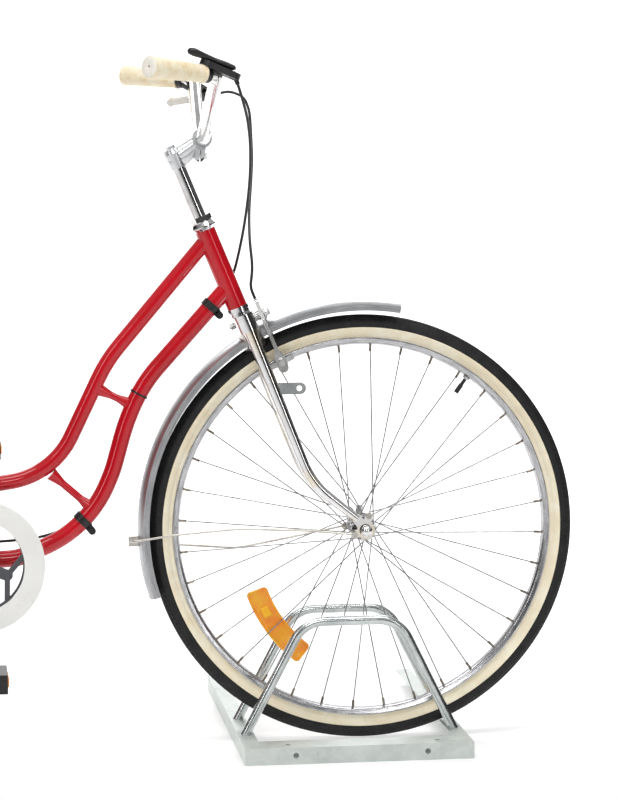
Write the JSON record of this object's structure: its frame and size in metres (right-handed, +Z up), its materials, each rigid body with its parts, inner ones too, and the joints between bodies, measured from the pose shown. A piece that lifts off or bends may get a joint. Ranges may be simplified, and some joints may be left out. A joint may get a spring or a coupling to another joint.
{
  "type": "bicycle on a floor stand",
  "caption": "Step-through city bicycle with twin swept frame tubes, fenders, chain guard and swept handlebar, its front wheel held between the hoops of a low steel floor stand.",
  "frame": {"origin": "on the floor, under the middle of the whole object's box", "axes": "+X forward along the bicycle, +Y to the rider's left, +Z up; the floor is Z = 0"},
  "size_m": [1.803, 0.7911, 1.1247],
  "materials": {
    "red_paint": "glossy lacquer",
    "chrome": "polished",
    "cast_aluminium": "satin cast",
    "fender_aluminium": "brushed, scratched",
    "zinc_steel": "galvanised",
    "bright_steel": "zinc plated",
    "spider_steel": "grey",
    "tyre_rubber": "black tread with a cream side wall",
    "tube_rubber": "matt",
    "pad_rubber": "matt",
    "grip_rubber": "cream with tan mottling",
    "black_plastic": "black",
    "cable_black": "black casing",
    "guard_white": "white",
    "amber": "pebbled reflector",
    "seat_cover": "black, padded",
    "lever_white": "pale"
  },
  "bodies": {
    "stand": {"stand_base": "zinc_steel", "stand_hoops": "zinc_steel"},
    "frame": {"head_tube": "red_paint", "upper_tube": "red_paint", "lower_tube": "red_paint", "seat_tube": "red_paint", "frame_struts": "red_paint", "bottom_bracket_shell": "red_paint", "rear_stays": "red_paint", "bearing_cups": "chrome", "cable_clips": "black_plastic", "chain_guard": "guard_white", "chain": "bright_steel", "rear_fender": "fender_aluminium", "rear_fender_stays": "bright_steel", "rear_axle": "bright_steel", "shift_cable_lower": "cable_black"},
    "seat": {"seat_post": "chrome", "saddle": "seat_cover", "saddle_frame": "bright_steel"},
    "crank": {"spindles": "bright_steel", "chainring": "spider_steel", "crank_arms": "cast_aluminium"},
    "right_pedal": {"right_pedal": "black_plastic"},
    "left_pedal": {"left_pedal": "black_plastic"},
    "fork": {"fork_steerer": "chrome", "fork_blades": "chrome", "headset_nuts": "chrome", "stem": "cast_aluminium", "handlebar": "chrome", "grips": "grip_rubber", "brake_bracket": "black_plastic", "brake_cable": "cable_black", "caliper_bolt": "bright_steel", "front_fender": "fender_aluminium", "front_fender_stays": "bright_steel", "front_axle": "chrome", "lamp_bracket": "zinc_steel", "shifter_body": "black_plastic", "shift_cable_upper": "cable_black"},
    "front_wheel": {"front_tyre": "tyre_rubber", "front_inner_tube": "tube_rubber", "front_rim": "chrome", "front_spokes": "bright_steel", "front_hub": "chrome", "wheel_reflector": "amber"},
    "rear_wheel": {"rear_tyre": "tyre_rubber", "rear_inner_tube": "tube_rubber", "rear_rim": "chrome", "rear_spokes": "bright_steel", "rear_hub": "chrome"},
    "sprocket": {"sprocket": "bright_steel"},
    "brake_lever": {"brake_lever": "lever_white"},
    "right_caliper": {"right_caliper_arm": "cast_aluminium", "right_brake_pad": "pad_rubber"},
    "left_caliper": {"left_caliper_arm": "cast_aluminium", "left_brake_pad": "pad_rubber"},
    "shift_lever": {"shift_lever": "black_plastic"}
  },
  "joints": [
    {"name": "lift_out", "type": "slide", "parent": "stand", "child": "frame", "axis": [0, 0, 1], "range_m": [0, 0.25]},
    {"name": "seat_height", "type": "slide", "parent": "frame", "child": "seat", "axis": [-0.342, 0, 0.9397], "range_m": [-0.05, 0.05]},
    {"name": "crank_spin", "type": "hinge", "parent": "frame", "child": "crank", "pos_m": [-0.0725, -0.0815, 0.311], "axis": [0, 1, 0], "continuous": true},
    {"name": "right_pedal_spin", "type": "hinge", "parent": "crank", "child": "right_pedal", "pos_m": [-0.0725, -0.0815, 0.141], "axis": [0, 1, 0], "continuous": true},
    {"name": "left_pedal_spin", "type": "hinge", "parent": "crank", "child": "left_pedal", "pos_m": [-0.0725, -0.0815, 0.481], "axis": [0, 1, 0], "continuous": true},
    {"name": "steering", "type": "hinge", "parent": "frame", "child": "fork", "pos_m": [0.3532, -0.0815, 0.7149], "axis": [-0.3778, 0, 0.9259], "range_deg": [-8, 8], "deforming": ["shift_cable_upper"]},
    {"name": "front_wheel_spin", "type": "hinge", "parent": "fork", "child": "front_wheel", "pos_m": [0.5535, -0.0815, 0.352], "axis": [0, 1, 0], "continuous": true},
    {"name": "rear_wheel_spin", "type": "hinge", "parent": "frame", "child": "rear_wheel", "pos_m": [-0.5315, -0.0815, 0.348], "axis": [0, 1, 0], "continuous": true},
    {"name": "sprocket_spin", "type": "hinge", "parent": "frame", "child": "sprocket", "pos_m": [-0.5315, -0.0815, 0.348], "axis": [0, 1, 0], "continuous": true},
    {"name": "brake_lever_pull", "type": "hinge", "parent": "fork", "child": "brake_lever", "pos_m": [0.3275, 0.1145, 1.058], "axis": [0.6355, 0.5101, 0.5796], "range_deg": [0, 15], "stiffness_Nm_per_rad": 0.6, "springref_deg": -8.59},
    {"name": "right_arm_close", "type": "hinge", "parent": "fork", "child": "right_caliper", "pos_m": [0.38987, -0.0815, 0.70178], "axis": [0.9259, 0, 0.3778], "range_deg": [0, 1.5]},
    {"name": "left_arm_close", "type": "hinge", "parent": "fork", "child": "left_caliper", "pos_m": [0.39636, -0.0815, 0.70443], "axis": [0.9259, 0, 0.3778], "range_deg": [-1.5, 0]},
    {"name": "shift_lever_turn", "type": "hinge", "parent": "fork", "child": "shift_lever", "pos_m": [0.3205, -0.3027, 1.0918], "axis": [0.3687, 0.0885, 0.9253], "range_deg": [0, 35]}
  ],
  "couplings": [
    {"joint": "sprocket_spin", "follows": "crank_spin", "ratio": 2.3158},
    {"joint": "right_arm_close", "follows": "brake_lever_pull", "ratio": 0.0933},
    {"joint": "left_arm_close", "follows": "brake_lever_pull", "ratio": -0.0933}
  ]
}
